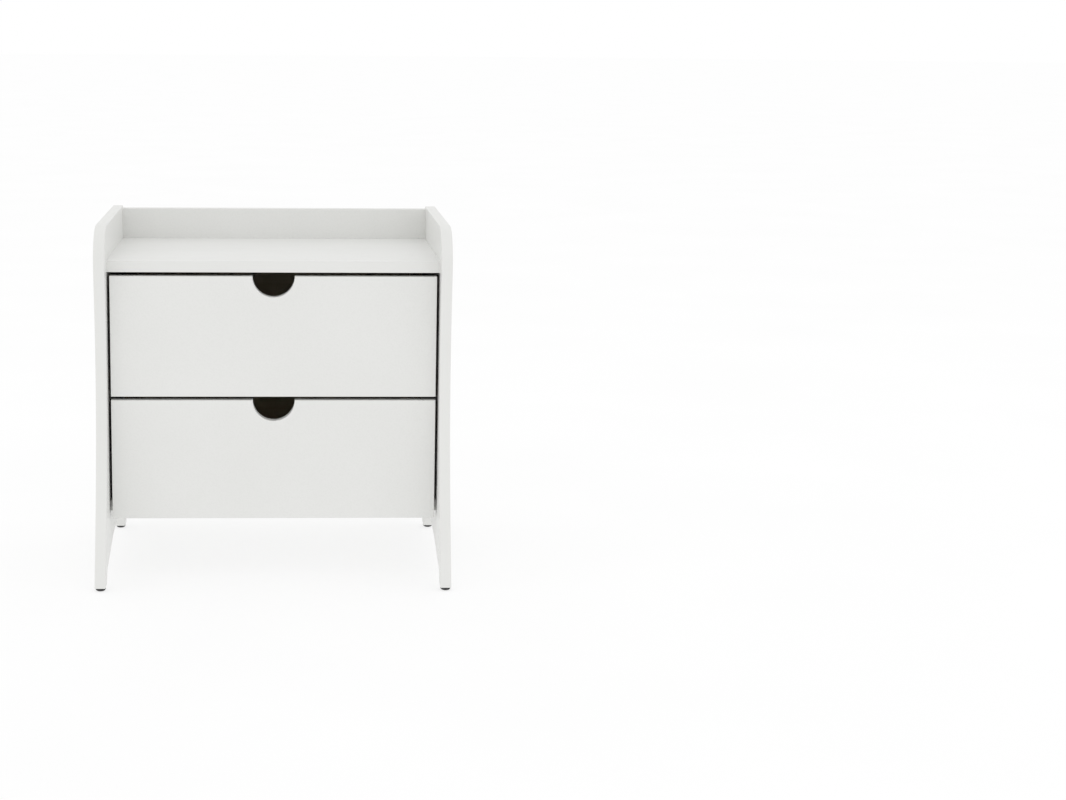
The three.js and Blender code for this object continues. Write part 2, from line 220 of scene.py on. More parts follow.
def white_paint_edge():
    """The same lacquer on the cut edges, which drink more of it: a little flatter and drier."""
    f = Finish("white_paint_edge", 0.52)
    clouds = f.noise(f.place, 15, 3)
    fibres = f.noise(f.place, 800, 3, 0.65)
    coat = f.ramp(clouds, (0.3, (0.770, 0.773, 0.753)), (0.7, (0.786, 0.788, 0.77)))
    colour = f.mixed(f.spread(fibres, 0.0, 0.1), coat, (0.69, 0.69, 0.668))
    return f.use(Base_Color=colour, Roughness=f.spread(fibres, 0.46, 0.58),
                 Normal=f.bump(fibres, 0.1, 0.45))


def birch_face(name, grain):
    """A sanded, matt-lacquered birch veneer, with its grain along one axis."""
    f = Finish(name, 0.55, specular=0.35)
    figure = f.noise(f.drawn_out(grain, 34, 1.6), 1, 4, 0.6)
    pores = f.noise(f.drawn_out(grain, 300, 9), 1, 3, 0.7)
    clouds = f.noise(f.place, 5, 2)
    veneer = f.ramp(figure, (0.28, (0.70, 0.595, 0.455)), (0.46, (0.78, 0.69, 0.55)),
                    (0.62, (0.82, 0.745, 0.61)), (0.8, (0.75, 0.655, 0.51)))
    streaked = f.mixed(f.spread(pores, 0.0, 0.3), veneer, (0.62, 0.5, 0.36))
    colour = f.mixed(f.spread(clouds, 0.0, 0.25), streaked, (0.86, 0.79, 0.67))
    return f.use(Base_Color=colour, Roughness=f.spread(pores, 0.48, 0.64),
                 Normal=f.bump(pores, 0.08, 0.4))


def birch_edge(name, across):
    """The cut edge of birch plywood: thin plies, light and dark by turns, across one axis."""
    f = Finish(name, 0.68, specular=0.3)
    ply = 1.35 * MM
    parts = f.node("ShaderNodeSeparateXYZ", Vector=f.place).outputs
    wander = f.spread(f.noise(f.place, 60, 2), -0.12, 0.12)
    layer = f.maths("ADD", f.maths("DIVIDE", parts[AXES[across]], ply), wander)
    turn = f.maths("PINGPONG", layer, 1.0)
    plies = f.ramp(turn, (0.0, (0.40, 0.26, 0.14)), (0.34, (0.47, 0.32, 0.18)),
                   (0.5, (0.70, 0.55, 0.36)), (1.0, (0.74, 0.6, 0.41)))
    fleck = f.noise(f.place, 900, 3, 0.7)
    colour = f.mixed(f.spread(fleck, 0.0, 0.4), plies, (0.5, 0.36, 0.22))
    return f.use(Base_Color=colour, Roughness=f.spread(fleck, 0.6, 0.78),
                 Normal=f.bump(fleck, 0.12, 0.5, f.bump(turn, 0.05, 0.3)))


def hardboard():
    """Thin fibreboard with a white printed face and the fine screen mark of its press."""
    f = Finish("white_hardboard", 0.62, specular=0.35)
    mesh = f.node("ShaderNodeTexVoronoi", Vector=f.place, Scale=520, Randomness=0.35)
    fibres = f.noise(f.place, 240, 4, 0.65)
    colour = f.ramp(fibres, (0.25, (0.69, 0.69, 0.675)), (0.75, (0.75, 0.75, 0.74)))
    return f.use(Base_Color=colour, Roughness=f.spread(fibres, 0.55, 0.7),
                 Normal=f.bump(mesh.outputs["Distance"], 0.12, 0.5, f.bump(fibres, 0.1, 0.3)))


def zinc_steel():
    """Bright zinc plate on cold-rolled steel: faint drawing streaks along the slides."""
    f = Finish("zinc_steel", 0.3, 1.0)
    streaks = f.noise(f.drawn_out("y", 650, 9), 1, 3, 0.6)
    bloom = f.noise(f.place, 32, 3)
    colour = f.ramp(bloom, (0.3, (0.60, 0.615, 0.64)), (0.7, (0.72, 0.72, 0.705)))
    return f.use(Base_Color=colour, Roughness=f.spread(streaks, 0.22, 0.42),
                 Normal=f.bump(streaks, 0.03, 0.3))


def black_steel():
    """Folded sheet under a black electrocoat: satin, with faint rolling streaks showing through."""
    f = Finish("black_steel", 0.38)
    streaks = f.noise(f.drawn_out("y", 650, 9), 1, 3, 0.6)
    coat = f.noise(f.place, 260, 2)
    colour = f.ramp(f.noise(f.place, 24, 3), (0.3, (0.017, 0.017, 0.018)),
                    (0.7, (0.026, 0.026, 0.027)))
    return f.use(Base_Color=colour, Roughness=f.spread(coat, 0.3, 0.48),
                 Normal=f.bump(streaks, 0.03, 0.25, f.bump(coat, 0.03, 0.3)))


def cam_zinc():
    """Die-cast zinc, dull and slightly grainy."""
    f = Finish("cam_zinc", 0.45, 0.9)
    grain = f.noise(f.place, 700, 4, 0.7)
    colour = f.ramp(grain, (0.3, (0.36, 0.365, 0.38)), (0.7, (0.52, 0.525, 0.535)))
    return f.use(Base_Color=colour, Roughness=f.spread(grain, 0.35, 0.6),
                 Normal=f.bump(grain, 0.06, 0.4))


def black_plastic():
    """Moulded plastic with a fine spark-eroded texture."""
    f = Finish("black_plastic", 0.5)
    texture = f.noise(f.place, 1500, 3, 0.6)
    colour = f.ramp(f.noise(f.place, 90, 2), (0.3, (0.017, 0.017, 0.018)),
                    (0.7, (0.028, 0.028, 0.029)))
    return f.use(Base_Color=colour, Roughness=f.spread(texture, 0.42, 0.6),
                 Normal=f.bump(texture, 0.05, 0.5))


def beech():
    """Turned beech with its short dark flecks along the dowel."""
    f = Finish("beech", 0.65, specular=0.3)
    flecks = f.noise(f.drawn_out("x", 900, 60), 1, 2, 0.7)
    colour = f.ramp(flecks, (0.35, (0.42, 0.24, 0.12)), (0.6, (0.6, 0.39, 0.215)))
    return f.use(Base_Color=colour, Normal=f.bump(flecks, 0.06, 0.4))


def studio_floor():
    """A light table: white, and lit from below so that the shadows on it stay pale."""
    f = Finish("studio_floor", 0.9, specular=0.0)
    clouds = f.noise(f.place, 2.5, 3)
    f.shader.inputs["Emission Color"].default_value = (1, 1, 1, 1)
    f.shader.inputs["Emission Strength"].default_value = FLOOR_GLOW
    grey = f.ramp(clouds, (0.3, (0.265, 0.265, 0.265)), (0.7, (0.275, 0.275, 0.275)))
    return f.use(Base_Color=grey)


PAINT = [white_paint(), white_paint_edge()]
HARDBOARD = [hardboard()]
STEEL = [zinc_steel()]
BLACK_STEEL = [black_steel()]
CAM = [cam_zinc()]
PLASTIC = [black_plastic()]
BEECH = [beech()]
PLY = {
    "side": [birch_face("birch_side", "y"), birch_edge("birch_side_edge", "x")],
    "back": [birch_face("birch_back", "x"), birch_edge("birch_back_edge", "y")],
    "bottom": [birch_face("birch_bottom", "x"), birch_edge("birch_bottom_edge", "z")],
}


# ---------------------------------------------------------------- shapes
def object_from(name, mesh, materials):
    for material in materials:
        mesh.materials.append(material)
    made = bpy.data.objects.new(name, mesh)
    bpy.context.scene.collection.objects.link(made)
    return made


def mesh_from(name, work):
    bmesh.ops.recalc_face_normals(work, faces=work.faces)
    mesh = bpy.data.meshes.new(name)
    work.to_mesh(mesh)
    work.free()
    return mesh


def rounded_box(name, low, high, radius, materials, thin, along=None):
    """A board with its edges rounded, all of them or only those along one axis. Its two large
    faces, square to the thin axis, take the first material and its edges the last."""
    work = bmesh.new()
    bmesh.ops.create_cube(work, size=1)
    size = Vector(high) - Vector(low)
    bmesh.ops.scale(work, vec=size, verts=work.verts)
    bmesh.ops.translate(work, vec=(Vector(high) + Vector(low)) / 2, verts=work.verts)
    rounded = [e for e in work.edges if along is None or runs_along(e, AXES[along])]
    bmesh.ops.bevel(work, geom=rounded, offset=radius, segments=EDGE_STEPS, profile=0.5,
                    affect="EDGES", clamp_overlap=True)
    work.normal_update()
    for face in work.faces:
        is_large = abs(face.normal[AXES[thin]]) > SAME_WAY
        face.material_index = 0 if is_large else max(len(materials) - 1, 0)
    return object_from(name, mesh_from(name, work), materials)


def runs_along(edge, axis):
    step = edge.verts[1].co - edge.verts[0].co
    return abs(step[axis]) > SAME_WAY * step.length


def left_normal(direction):
    return Vector((-direction.y, direction.x)).normalized()


def inset(outline, distance):
    """A closed anticlockwise outline moved inwards, corner by corner."""
    moved = []
    for i, here in enumerate(outline):
        before, after = outline[i - 1], outline[(i + 1) % len(outline)]
        first, second = left_normal(here - before), left_normal(after - here)
        moved.append(here + (first + second) * (distance / (1 + first.dot(second))))
    return moved


def plate(name, outline, place, low, high, radius, materials):
    """A board cut to an outline, with its two faces at low and high and its edges rounded over.
    place turns an outline point and a distance through the board into a point of the frame."""
    quarter = [math.radians(90 * i / EDGE_STEPS) for i in range(EDGE_STEPS + 1)]
    rings = [(radius * (1 - math.sin(a)), low + radius * (1 - math.cos(a))) for a in quarter]
    rings += [(d, low + high - w) for d, w in reversed(rings)]
    work = bmesh.new()
    loops = [[work.verts.new(place(p, w)) for p in inset(outline, d)] for d, w in rings]
    for near, far in zip(loops, loops[1:]):
        for i in range(len(outline)):
            j = (i + 1) % len(outline)
            work.faces.new((near[i], near[j], far[j], far[i])).material_index = len(materials) - 1
    for loop in (loops[0], loops[-1]):
        work.faces.new(loop).material_index = 0
    return object_from(name, mesh_from(name, work), materials)


def turned(name, profile, at, direction, materials, steps):
    """A turned piece from a profile of (radius, distance along the direction)."""
    work = bmesh.new()
    verts = [work.verts.new((r, 0, d)) for r, d in profile]
    edges = [work.edges.new(pair) for pair in zip(verts, verts[1:])]
    bmesh.ops.spin(work, geom=verts + edges, cent=(0, 0, 0), axis=(0, 0, 1), angle=math.tau,
                   steps=steps, use_merge=True)
    bmesh.ops.remove_doubles(work, verts=work.verts, dist=SAME_POINT)
    work.transform(stood_at(at, direction))
    return object_from(name, mesh_from(name, work), materials)


def stood_at(at, direction):
    """The matrix that moves a piece standing on the origin to a place, and turns its +Z there."""
    turn = Vector((0, 0, 1)).rotation_difference(Vector(direction))
    return Matrix.Translation(at) @ turn.to_matrix().to_4x4()


def cutter_box(low, high):
    return rounded_box("cutter", low, high, CUTTER_EDGE, [], "z")


def cutter_drill(at, direction, radius, depth):
    profile = [(0, 0), (radius, 0), (radius, depth), (0, depth)]
    return turned("cutter", profile, at, direction, [], DRILL_STEPS)


def carve(piece, *cutters):
    """Cuts the cutters out of a piece, and removes them."""
    for tool in cutters:
        cut = piece.modifiers.new("cut", "BOOLEAN")
        cut.operation = "DIFFERENCE"
        cut.solver = "EXACT"
        cut.object = tool
    settle(piece)
    for tool in cutters:
        bpy.data.objects.remove(tool)
    return piece


def settle(piece):
    """Turns a piece's modifiers into its mesh."""
    bpy.context.view_layer.update()
    evaluated = piece.evaluated_get(bpy.context.evaluated_depsgraph_get())
    mesh = bpy.data.meshes.new_from_object(evaluated)
    piece.modifiers.clear()
    piece.data = mesh


def joined(name, pieces, materials):
    """Several meshes of one finish as one piece."""
    work = bmesh.new()
    for piece in pieces:
        work.from_mesh(piece.data)
        bpy.data.objects.remove(piece)
    return object_from(name, mesh_from(name, work), materials)


def install(piece, body, slot, *nodes, crisp=CRISP_ANGLE):
    """Gives a piece smooth shading with flat large faces, and its place in the frame."""
    mesh = piece.data
    mesh.polygons.foreach_set("use_smooth", [True] * len(mesh.polygons))
    mesh.set_sharp_from_angle(angle=math.radians(crisp))
    facets = piece.modifiers.new("facets", "WEIGHTED_NORMAL")
    facets.keep_sharp = True
    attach(piece, body)
    if nodes:
        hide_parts(*nodes)


def centre(node):
    low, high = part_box(node)
    return (low + high) / 2


def inner_x(side):
    """Where the inner face of a side panel is."""
    low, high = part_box(f"side_panel_{side}")
    return low.x if SIDES[side] > 0 else high.x


# ---------------------------------------------------------------- cabinet
def face_outline(node, x):
    """The outline of a CAD board on its plane at x, as (y, z) points, anticlockwise."""
    work = bmesh.new()
    work.from_mesh(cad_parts[node].data)
    bmesh.ops.remove_doubles(work, verts=work.verts, dist=SAME_POINT)
    flat = [f for f in work.faces if all(abs(v.co.x - x) < SAME_POINT for v in f.verts)]
    rim = {}
    for face in flat:
        for loop in face.loops:
            if sum(other in flat for other in loop.edge.link_faces) == 1:
                rim[loop.vert] = loop.link_loop_next.vert
    start = here = next(iter(rim))
    points = []
    while not points or here != start:
        points.append(Vector((here.co.y, here.co.z)))
        here = rim[here]
    work.free()
    area = sum(p.x * q.y - q.x * p.y for p, q in zip(points, points[1:] + points[:1]))
    return points if area > 0 else points[::-1]


BOLT_HOLE_R = 2.9 * MM
BOLT_HOLE_DEPTH = 11 * MM
DOWEL_HOLE_R = 4.15 * MM
DOWEL_HOLE_DEPTH = 11 * MM
NAIL_HOLE_R = 1.5 * MM
NAIL_HOLE_DEPTH = 15 * MM


def side_panel(side, sign):
    """A side board, with its rabbet for the back panel and its bores."""
    node = f"side_panel_{side}"
    low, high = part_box(node)
    inner = inner_x(side)
    outline = face_outline(node, high.x if sign > 0 else low.x)
    panel = plate(f"{node}.board", outline, lambda p, w: Vector((w, p.x, p.y)),
                  low.x, high.x, PANEL_EDGE, PAINT)
    back_low, back_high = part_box("back_panel")
    x0, x1 = sorted((inner - sign * PAST, sign * (back_high.x + FIT_GAP)))
    cutters = [cutter_box((x0, back_low.y - FIT_GAP, back_low.z - FIT_GAP),
                          (x1, high.y + PAST, back_high.z + FIT_GAP))]
    for board in CAM_BOARDS:
        for end in ENDS:
            at = centre(f"cam_bolt_{board}_{end}_{side}")
            at.x = inner - sign * PAST
            cutters.append(cutter_drill(at, (sign, 0, 0), BOLT_HOLE_R, BOLT_HOLE_DEPTH + PAST))
    at = centre(f"rail_dowel_{side}")
    at.x = inner - sign * PAST
    cutters.append(cutter_drill(at, (sign, 0, 0), DOWEL_HOLE_R, DOWEL_HOLE_DEPTH + PAST))
    for end in ENDS:
        at = centre(f"glide_{end}_{side}")
        at.z = low.z - PAST
        cutters.append(cutter_drill(at, (0, 0, 1), NAIL_HOLE_R, NAIL_HOLE_DEPTH + PAST))
    install(carve(panel, *cutters), "cabinet", "white_paint", node)


CAM_HOLE_R = 7.7 * MM
CAM_HOLE_DEPTH = 12.7 * MM
BOLT_BORE_R = 3.6 * MM


def cam_bore_cutters(board, under_z):
    """The bores of a board's four cams, from underneath, and of their bolts, from its ends."""
    cutters = []
    for side, sign in SIDES.items():
        wall = inner_x(side)
        for end in ENDS:
            at = centre(f"cam_{board}_{end}_{side}")
            bolt = centre(f"cam_bolt_{board}_{end}_{side}")
            cutters.append(cutter_drill((at.x, at.y, under_z - PAST), (0, 0, 1), CAM_HOLE_R,
                                        CAM_HOLE_DEPTH + PAST))
            cutters.append(cutter_drill((wall + sign * PAST, bolt.y, bolt.z), (-sign, 0, 0),
                                        BOLT_BORE_R, abs(wall - at.x) + PAST))
    return cutters


# How far a board's ends reach beyond the CAD's, to close its joint with the side panels.
JOINT_REACH = Vector((0.12 * MM, 0, 0))
RAIL_GAP = 0.03 * MM
RAIL_HOLE_DEPTH = 25 * MM


def top_board():
    """The board that things stand on, with a housing for the rail along its rear edge."""
    low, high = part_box("top_board")
    rail_low, rail_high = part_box("gallery_rail")
    board = rounded_box("top_board.board", low - JOINT_REACH, high + JOINT_REACH, BOARD_EDGE,
                        PAINT, "z", along="x")
    housing = cutter_box((low.x - PAST, rail_low.y - RAIL_GAP, rail_low.z - FIT_GAP),
                         (high.x + PAST, rail_high.y, high.z + PAST))
    carve(board, housing, *cam_bore_cutters("top", low.z))
    install(board, "cabinet", "white_paint", "top_board")


def bottom_board():
    """The board under the lower drawer."""
    low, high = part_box("bottom_board")
    board = rounded_box("bottom_board.board", low - JOINT_REACH, high + JOINT_REACH, BOARD_EDGE,
                        PAINT, "z", along="x")
    carve(board, *cam_bore_cutters("bottom", low.z))
    install(board, "cabinet", "white_paint", "bottom_board")


def gallery_rail():
    """The rail behind the tray, bored at each end for its dowel."""
    low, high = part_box("gallery_rail")
    rail = rounded_box("gallery_rail.board", low - JOINT_REACH, high + JOINT_REACH, BOARD_EDGE,
                       PAINT, "y", along="x")
    cutters = []
    for side, sign in SIDES.items():
        at = centre(f"rail_dowel_{side}")
        at.x = sign * (high.x + PAST)
        cutters.append(cutter_drill(at, (-sign, 0, 0), DOWEL_HOLE_R, RAIL_HOLE_DEPTH + PAST))
    install(carve(rail, *cutters), "cabinet", "white_paint", "gallery_rail")


# Screws round the back panel: how many in a row, and how far each row is from the panel's edge.
BACK_SCREWS_ACROSS = 5
BACK_SCREWS_UP = 3
BACK_CORNER_INSET = 12 * MM
BACK_BOTTOM_INSET = 8 * MM
BACK_TOP_INSET = 6 * MM
BACK_SIDE_INSET = 4 * MM
BACK_SCREW_SINK = 1 * MM


def back_screw_places(low, high):
    """The (x, z) of each of the back panel's screws."""
    places = []
    for i in range(BACK_SCREWS_ACROSS):
        x = (low.x + BACK_CORNER_INSET) * (1 - 2 * i / (BACK_SCREWS_ACROSS - 1))
        places += [(x, low.z + BACK_BOTTOM_INSET), (x, high.z - BACK_TOP_INSET)]
    for sign in SIDES.values():
        for i in range(1, BACK_SCREWS_UP + 1):
            z = low.z + (high.z - low.z) * i / (BACK_SCREWS_UP + 1)
            places.append((sign * (high.x - BACK_SIDE_INSET), z))
    return places


def back_panel():
    """The back sheet, held by small flush screws all round."""
    low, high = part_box("back_panel")
    sheet = rounded_box("back_panel.sheet", low, high, SHEET_EDGE, HARDBOARD, "y")
    cutters = []
    screws = []
    for x, z in back_screw_places(low, high):
        at = Vector((x, high.y - BACK_SCREW_SINK, z))
        cutters.append(cutter_drill(at, (0, 1, 0), BACK_SCREW["radius"] + FIT_GAP,
                                    BACK_SCREW_SINK + PAST))
        screws.append(screw(at, (0, 1, 0), **BACK_SCREW))
    install(carve(sheet, *cutters), "cabinet", "white_hardboard", "back_panel")
    install(joined("back_panel.screws", screws, STEEL), "cabinet", "zinc_steel")


# Glides: their flat spot as a share of their radius, and their dome's height as a share of the
# gap under the foot.
GLIDE_FLAT = 0.42
GLIDE_DOME = 0.74
GLIDE_DOME_STEPS = 8
GLIDE_RIM = 0.5 * MM
GLIDE_CHAMFER = 0.35 * MM
GLIDE_FOOT_GAP = 0.1 * MM
NAIL_R = 1.15 * MM
NAIL_POINT = 2.2 * MM


def glide(side, end):
    """A domed nail-on glide under a foot."""
    node = f"glide_{end}_{side}"
    low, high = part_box(node)
    at = centre(node)
    radius = (high.x - low.x) / 2
    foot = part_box(f"side_panel_{side}")[0].z
    top = foot - GLIDE_FOOT_GAP
    profile = [(0, 0), (GLIDE_FLAT * radius, 0)]
    for i in range(1, GLIDE_DOME_STEPS + 1):
        a = math.radians(90 * i / GLIDE_DOME_STEPS)
        profile.append((radius * (GLIDE_FLAT + (1 - GLIDE_FLAT) * math.sin(a)),
                        GLIDE_DOME * foot * (1 - math.cos(a))))
    profile += [(radius, top - GLIDE_RIM), (radius - GLIDE_CHAMFER, top), (0, top)]
    pad = turned(f"{node}.pad", profile, (at.x, at.y, low.z), (0, 0, 1), PLASTIC, GLIDE_STEPS)
    install(pad, "cabinet", "black_plastic", node)
    length = high.z - top
    nail_profile = [(0, 0), (NAIL_R, 0), (NAIL_R, length - NAIL_POINT), (0, length)]
    nail = turned(f"{node}.nail", nail_profile, (at.x, at.y, top), (0, 0, 1), STEEL, NAIL_STEPS)
    install(nail, "cabinet", "zinc_steel")


# ---------------------------------------------------------------- fittings
BACK_SCREW = {"radius": 2.6 * MM, "height": 0.95 * MM, "recess": 0.6 * MM}
CABINET_SCREW = {"radius": 2.2 * MM, "height": 1.15 * MM, "recess": 0.7 * MM}
DRAWER_SCREW = {"radius": 3.4 * MM, "height": 1.7 * MM, "recess": 1.1 * MM}

# A screw head's outline from its rim up, as shares of its radius and of its height, and the arms
# of its cross recess, as shares of its radius.
HEAD_OUTLINE = ((1, 0), (1, 0.45), (0.86, 0.86), (0.6, 1))
ARM_LENGTH = 0.62
ARM_HALF_WIDTH = 0.14


def screw(at, direction, radius, height, recess):
    """A screw's head with a cross recess; at is on the surface that it holds."""
    profile = [(0, 0), *((radius * r, height * h) for r, h in HEAD_OUTLINE), (0, height)]
    head = turned("screw", profile, (0, 0, 0), (0, 0, 1), [], SCREW_STEPS)
    arm, half = radius * ARM_LENGTH, radius * ARM_HALF_WIDTH
    carve(head,
          cutter_box((-arm, -half, height - recess), (arm, half, height + PAST)),
          cutter_box((-half, -arm, height - recess), (half, arm, height + PAST)))
    head.data.transform(stood_at(at, direction))
    return head


def cam_mesh():
    """A cam that stands on z = 0 and takes its bolt from +X, its driver recess underneath."""
    radius, height, chamfer = 7.5 * MM, 12.3 * MM, 0.5 * MM
    bolt_z, pocket, pocket_back, pocket_front = 7.4 * MM, 4 * MM, -3.6 * MM, 4.1 * MM
    mouth, mouth_back = 2.1 * MM, 2 * MM
    arm, half_arm, recess = 4 * MM, 0.6 * MM, 2.2 * MM
    profile = [(0, 0), (radius - chamfer, 0), (radius, chamfer), (radius, height - chamfer),
               (radius - chamfer, height), (0, height)]
    drum = turned("cam", profile, (0, 0, 0), (0, 0, 1), CAM, CAM_STEPS)
    top = height + PAST
    carve(drum,
          cutter_box((pocket_back, -pocket, bolt_z - pocket), (pocket_front, pocket, top)),
          cutter_box((mouth_back, -mouth, bolt_z - mouth), (radius + PAST, mouth, top)),
          cutter_box((-arm, -half_arm, -PAST), (arm, half_arm, recess)),
          cutter_box((-half_arm, -arm, -PAST), (half_arm, arm, recess)))
    return drum


# One turn of a cam bolt's thread, as points of (radius, share of the pitch).
THREAD_CORE = 1.75 * MM
THREAD_CREST = 2.5 * MM
THREAD_TURN = ((THREAD_CORE, 0), (THREAD_CREST, 0.3), (THREAD_CREST, 0.5), (THREAD_CORE, 0.8))


def cam_bolt_mesh():
    """A cam bolt along +X, from its threaded end to its ball head."""
    shank, collar, ball, chamfer, shoulder = 1.6 * MM, 3.2 * MM, 3 * MM, 0.2 * MM, 0.5 * MM
    thread_from, pitch, turns = 0.7 * MM, 1.5 * MM, 6
    collar_from, collar_to, neck_from = 10.8 * MM, 11.9 * MM, 40.6 * MM
    ball_middle, ball_half, end = 42.815 * MM, 1.615 * MM, 44.6 * MM
    ball_steps, first_angle, last_angle = 4, -35, 80
    profile = [(0, 0), (shank, chamfer)]
    for i in range(turns):
        start = thread_from + i * pitch
        profile += [(radius, start + share * pitch) for radius, share in THREAD_TURN]
    profile += [(THREAD_CORE, collar_from), (collar, collar_from), (collar, collar_to),
                (collar - chamfer, collar_to + chamfer), (shank, collar_to + shoulder),
                (shank, neck_from)]
    for i in range(ball_steps + 1):
        a = math.radians(first_angle + (last_angle - first_angle) * i / ball_steps)
        profile.append((ball * math.cos(a), ball_middle + ball_half * math.sin(a)))
    profile.append((0, end))
    return turned("cam_bolt", profile, (0, 0, 0), (1, 0, 0), STEEL, BOLT_STEPS)


def copy_to(model, name, matrix, materials):
    """A copy of a model's mesh, moved by a matrix that may mirror it."""
    mesh = model.data.copy()
    mesh.transform(matrix)
    if matrix.determinant() < 0:
        mesh.flip_normals()
    mesh.materials.clear()
    return object_from(name, mesh, materials)


def cams_and_bolts():
    cam_model, bolt_model = cam_mesh(), cam_bolt_mesh()
    for side, sign in SIDES.items():
        outward, inward = Matrix.Diagonal((sign, 1, 1, 1)), Matrix.Diagonal((-sign, 1, 1, 1))
        for board in CAM_BOARDS:
            for end in ENDS:
                node = f"cam_{board}_{end}_{side}"
                at = centre(node)
                at.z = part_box(node)[0].z
                piece = copy_to(cam_model, f"{node}.drum", Matrix.Translation(at) @ outward, CAM)
                install(piece, "cabinet", "cam_zinc", node)
                node = f"cam_bolt_{board}_{end}_{side}"
                low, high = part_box(node)
                at = centre(node)
                at.x = high.x if sign > 0 else low.x
                piece = copy_to(bolt_model, f"{node}.bolt", Matrix.Translation(at) @ inward, STEEL)
                install(piece, "cabinet", "zinc_steel", node)
    bpy.data.objects.remove(cam_model)
    bpy.data.objects.remove(bolt_model)


DOWEL_CHAMFER = 0.9 * MM
DOWEL_END = 0.78  # the radius of a dowel's ends, as a share of its full radius
FLUTES = 16
FLUTE_DEPTH = 0.1  # as a share of the radius
FLUTE_STEPS = 4


def dowel(side):
    """A fluted beech dowel with chamfered ends."""
    node = f"rail_dowel_{side}"
    low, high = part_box(node)
    radius = (high.z - low.z) / 2
    middle = centre(node)
    stations = [(low.x, DOWEL_END), (low.x + DOWEL_CHAMFER, 1), (high.x - DOWEL_CHAMFER, 1),
                (high.x, DOWEL_END)]
    work = bmesh.new()
    loops = []
    for x, share in stations:
        loop = []
        for i in range(FLUTES * FLUTE_STEPS):
            a = math.tau * i / (FLUTES * FLUTE_STEPS)
            r = radius * share * (1 - FLUTE_DEPTH / 2 * (1 + math.cos(FLUTES * a)))
            loop.append(work.verts.new((x, middle.y + r * math.cos(a), middle.z + r * math.sin(a))))
        loops.append(loop)
    for near, far in zip(loops, loops[1:]):
        for i in range(len(near)):
            j = (i + 1) % len(near)
            work.faces.new((near[i], near[j], far[j], far[i]))
    work.faces.new(loops[0])
    work.faces.new(loops[-1])
    piece = object_from(f"{node}.pin", mesh_from(node, work), BEECH)
    install(piece, "cabinet", "beech", node)


# ---------------------------------------------------------------- drawers
FINGER_R = 28.6 * MM
FINGER_STEPS = 72
GROOVE_DEPTH = 6 * MM
GROOVE_END_GAP = 0.2 * MM


def bottom_groove(level, low, high):
    """The cutter, from low to high as (x, y), that makes room for a drawer's bottom in a wall."""
    base_low, base_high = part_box(f"drawer_bottom_{level}")
    return cutter_box((*low, base_low.z - FIT_GAP), (*high, base_high.z + FIT_GAP))


def drawer_front(level):
    """The front board, with its half-moon finger cut-out in the top edge."""
    node = f"drawer_front_{level}"
    low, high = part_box(node)
    outline = [Vector((low.x, low.z)), Vector((high.x, low.z)), Vector((high.x, high.z))]
    for i in range(FINGER_STEPS + 1):
        a = -math.pi * i / FINGER_STEPS
        outline.append(Vector((FINGER_R * math.cos(a), high.z + FINGER_R * math.sin(a))))
    outline.append(Vector((low.x, high.z)))
    front = plate(f"{node}.board", outline, lambda p, w: Vector((p.x, w, p.y)),
                  low.y, high.y, BOARD_EDGE, PAINT)
    base_low, base_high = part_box(f"drawer_bottom_{level}")
    groove = bottom_groove(level, (base_low.x - GROOVE_END_GAP, base_low.y - GROOVE_END_GAP),
                           (base_high.x + GROOVE_END_GAP, high.y + PAST))
    install(carve(front, groove), f"drawer_{level}", "white_paint", node)


def drawer_side(level, side, sign):
    node = f"drawer_side_{level}_{side}"
    low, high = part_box(node)
    board = rounded_box(f"{node}.board", low, high, PLY_EDGE, PLY["side"], "x")
    inner = low.x if sign > 0 else high.x
    x0, x1 = sorted((inner - sign * PAST, inner + sign * GROOVE_DEPTH))
    groove = bottom_groove(level, (x0, low.y - PAST), (x1, high.y + PAST))
    install(carve(board, groove), f"drawer_{level}", "birch_ply", node)


def drawer_back(level):
    node = f"drawer_back_{level}"
    low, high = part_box(node)
    board = rounded_box(f"{node}.board", low, high, PLY_EDGE, PLY["back"], "y")
    groove = bottom_groove(level, (low.x - PAST, low.y - PAST),
                           (high.x + PAST, low.y + GROOVE_DEPTH))
    install(carve(board, groove), f"drawer_{level}", "birch_ply", node)


def drawer_bottom(level):
    node = f"drawer_bottom_{level}"
    low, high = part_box(node)
    sheet = rounded_box(f"{node}.sheet", low, high, SHEET_EDGE, PLY["bottom"], "z")
    install(sheet, f"drawer_{level}", "birch_ply", node)


# ---------------------------------------------------------------- slides
# A member is one bent sheet, in millimetres: its web and its tip are distances from the wall
# that the slide is on, half is half its height, and lip is the turned-in rim of its flanges.
OUTER = {"web": 0.15, "tip": 9.5, "half": 22.5, "sheet": 1.2, "lip": 3.5, "bend": 1.9}
MIDDLE = {"web": 2.4, "tip": 10.4, "half": 17.5, "sheet": 1.2, "lip": 0, "bend": 1.5}
INNER = {"web": 12.85, "tip": 5, "half": 12.5, "sheet": 1.2, "lip": 0, "bend": 1.4}
OUTER_STRIP = {"web": 1.6, "tip": 7.4, "half": 19.7, "sheet": 0.5, "lip": 0, "bend": 0.7}
INNER_STRIP = {"web": 4, "tip": 10, "half": 14.7, "sheet": 0.6, "lip": 0, "bend": 0.8}
BALL_R = 1.7 * MM
BALL_PITCH = 13 * MM
BALL_DIVISIONS = 3
BALLS_PER_ROW = 7
# Where each strip's two rows of balls are: off the wall, and above and below the middle.
BALL_ROWS = {"outer": (5 * MM, 19.4 * MM), "inner": (7.7 * MM, 14.4 * MM)}
BEND_STEPS = 5


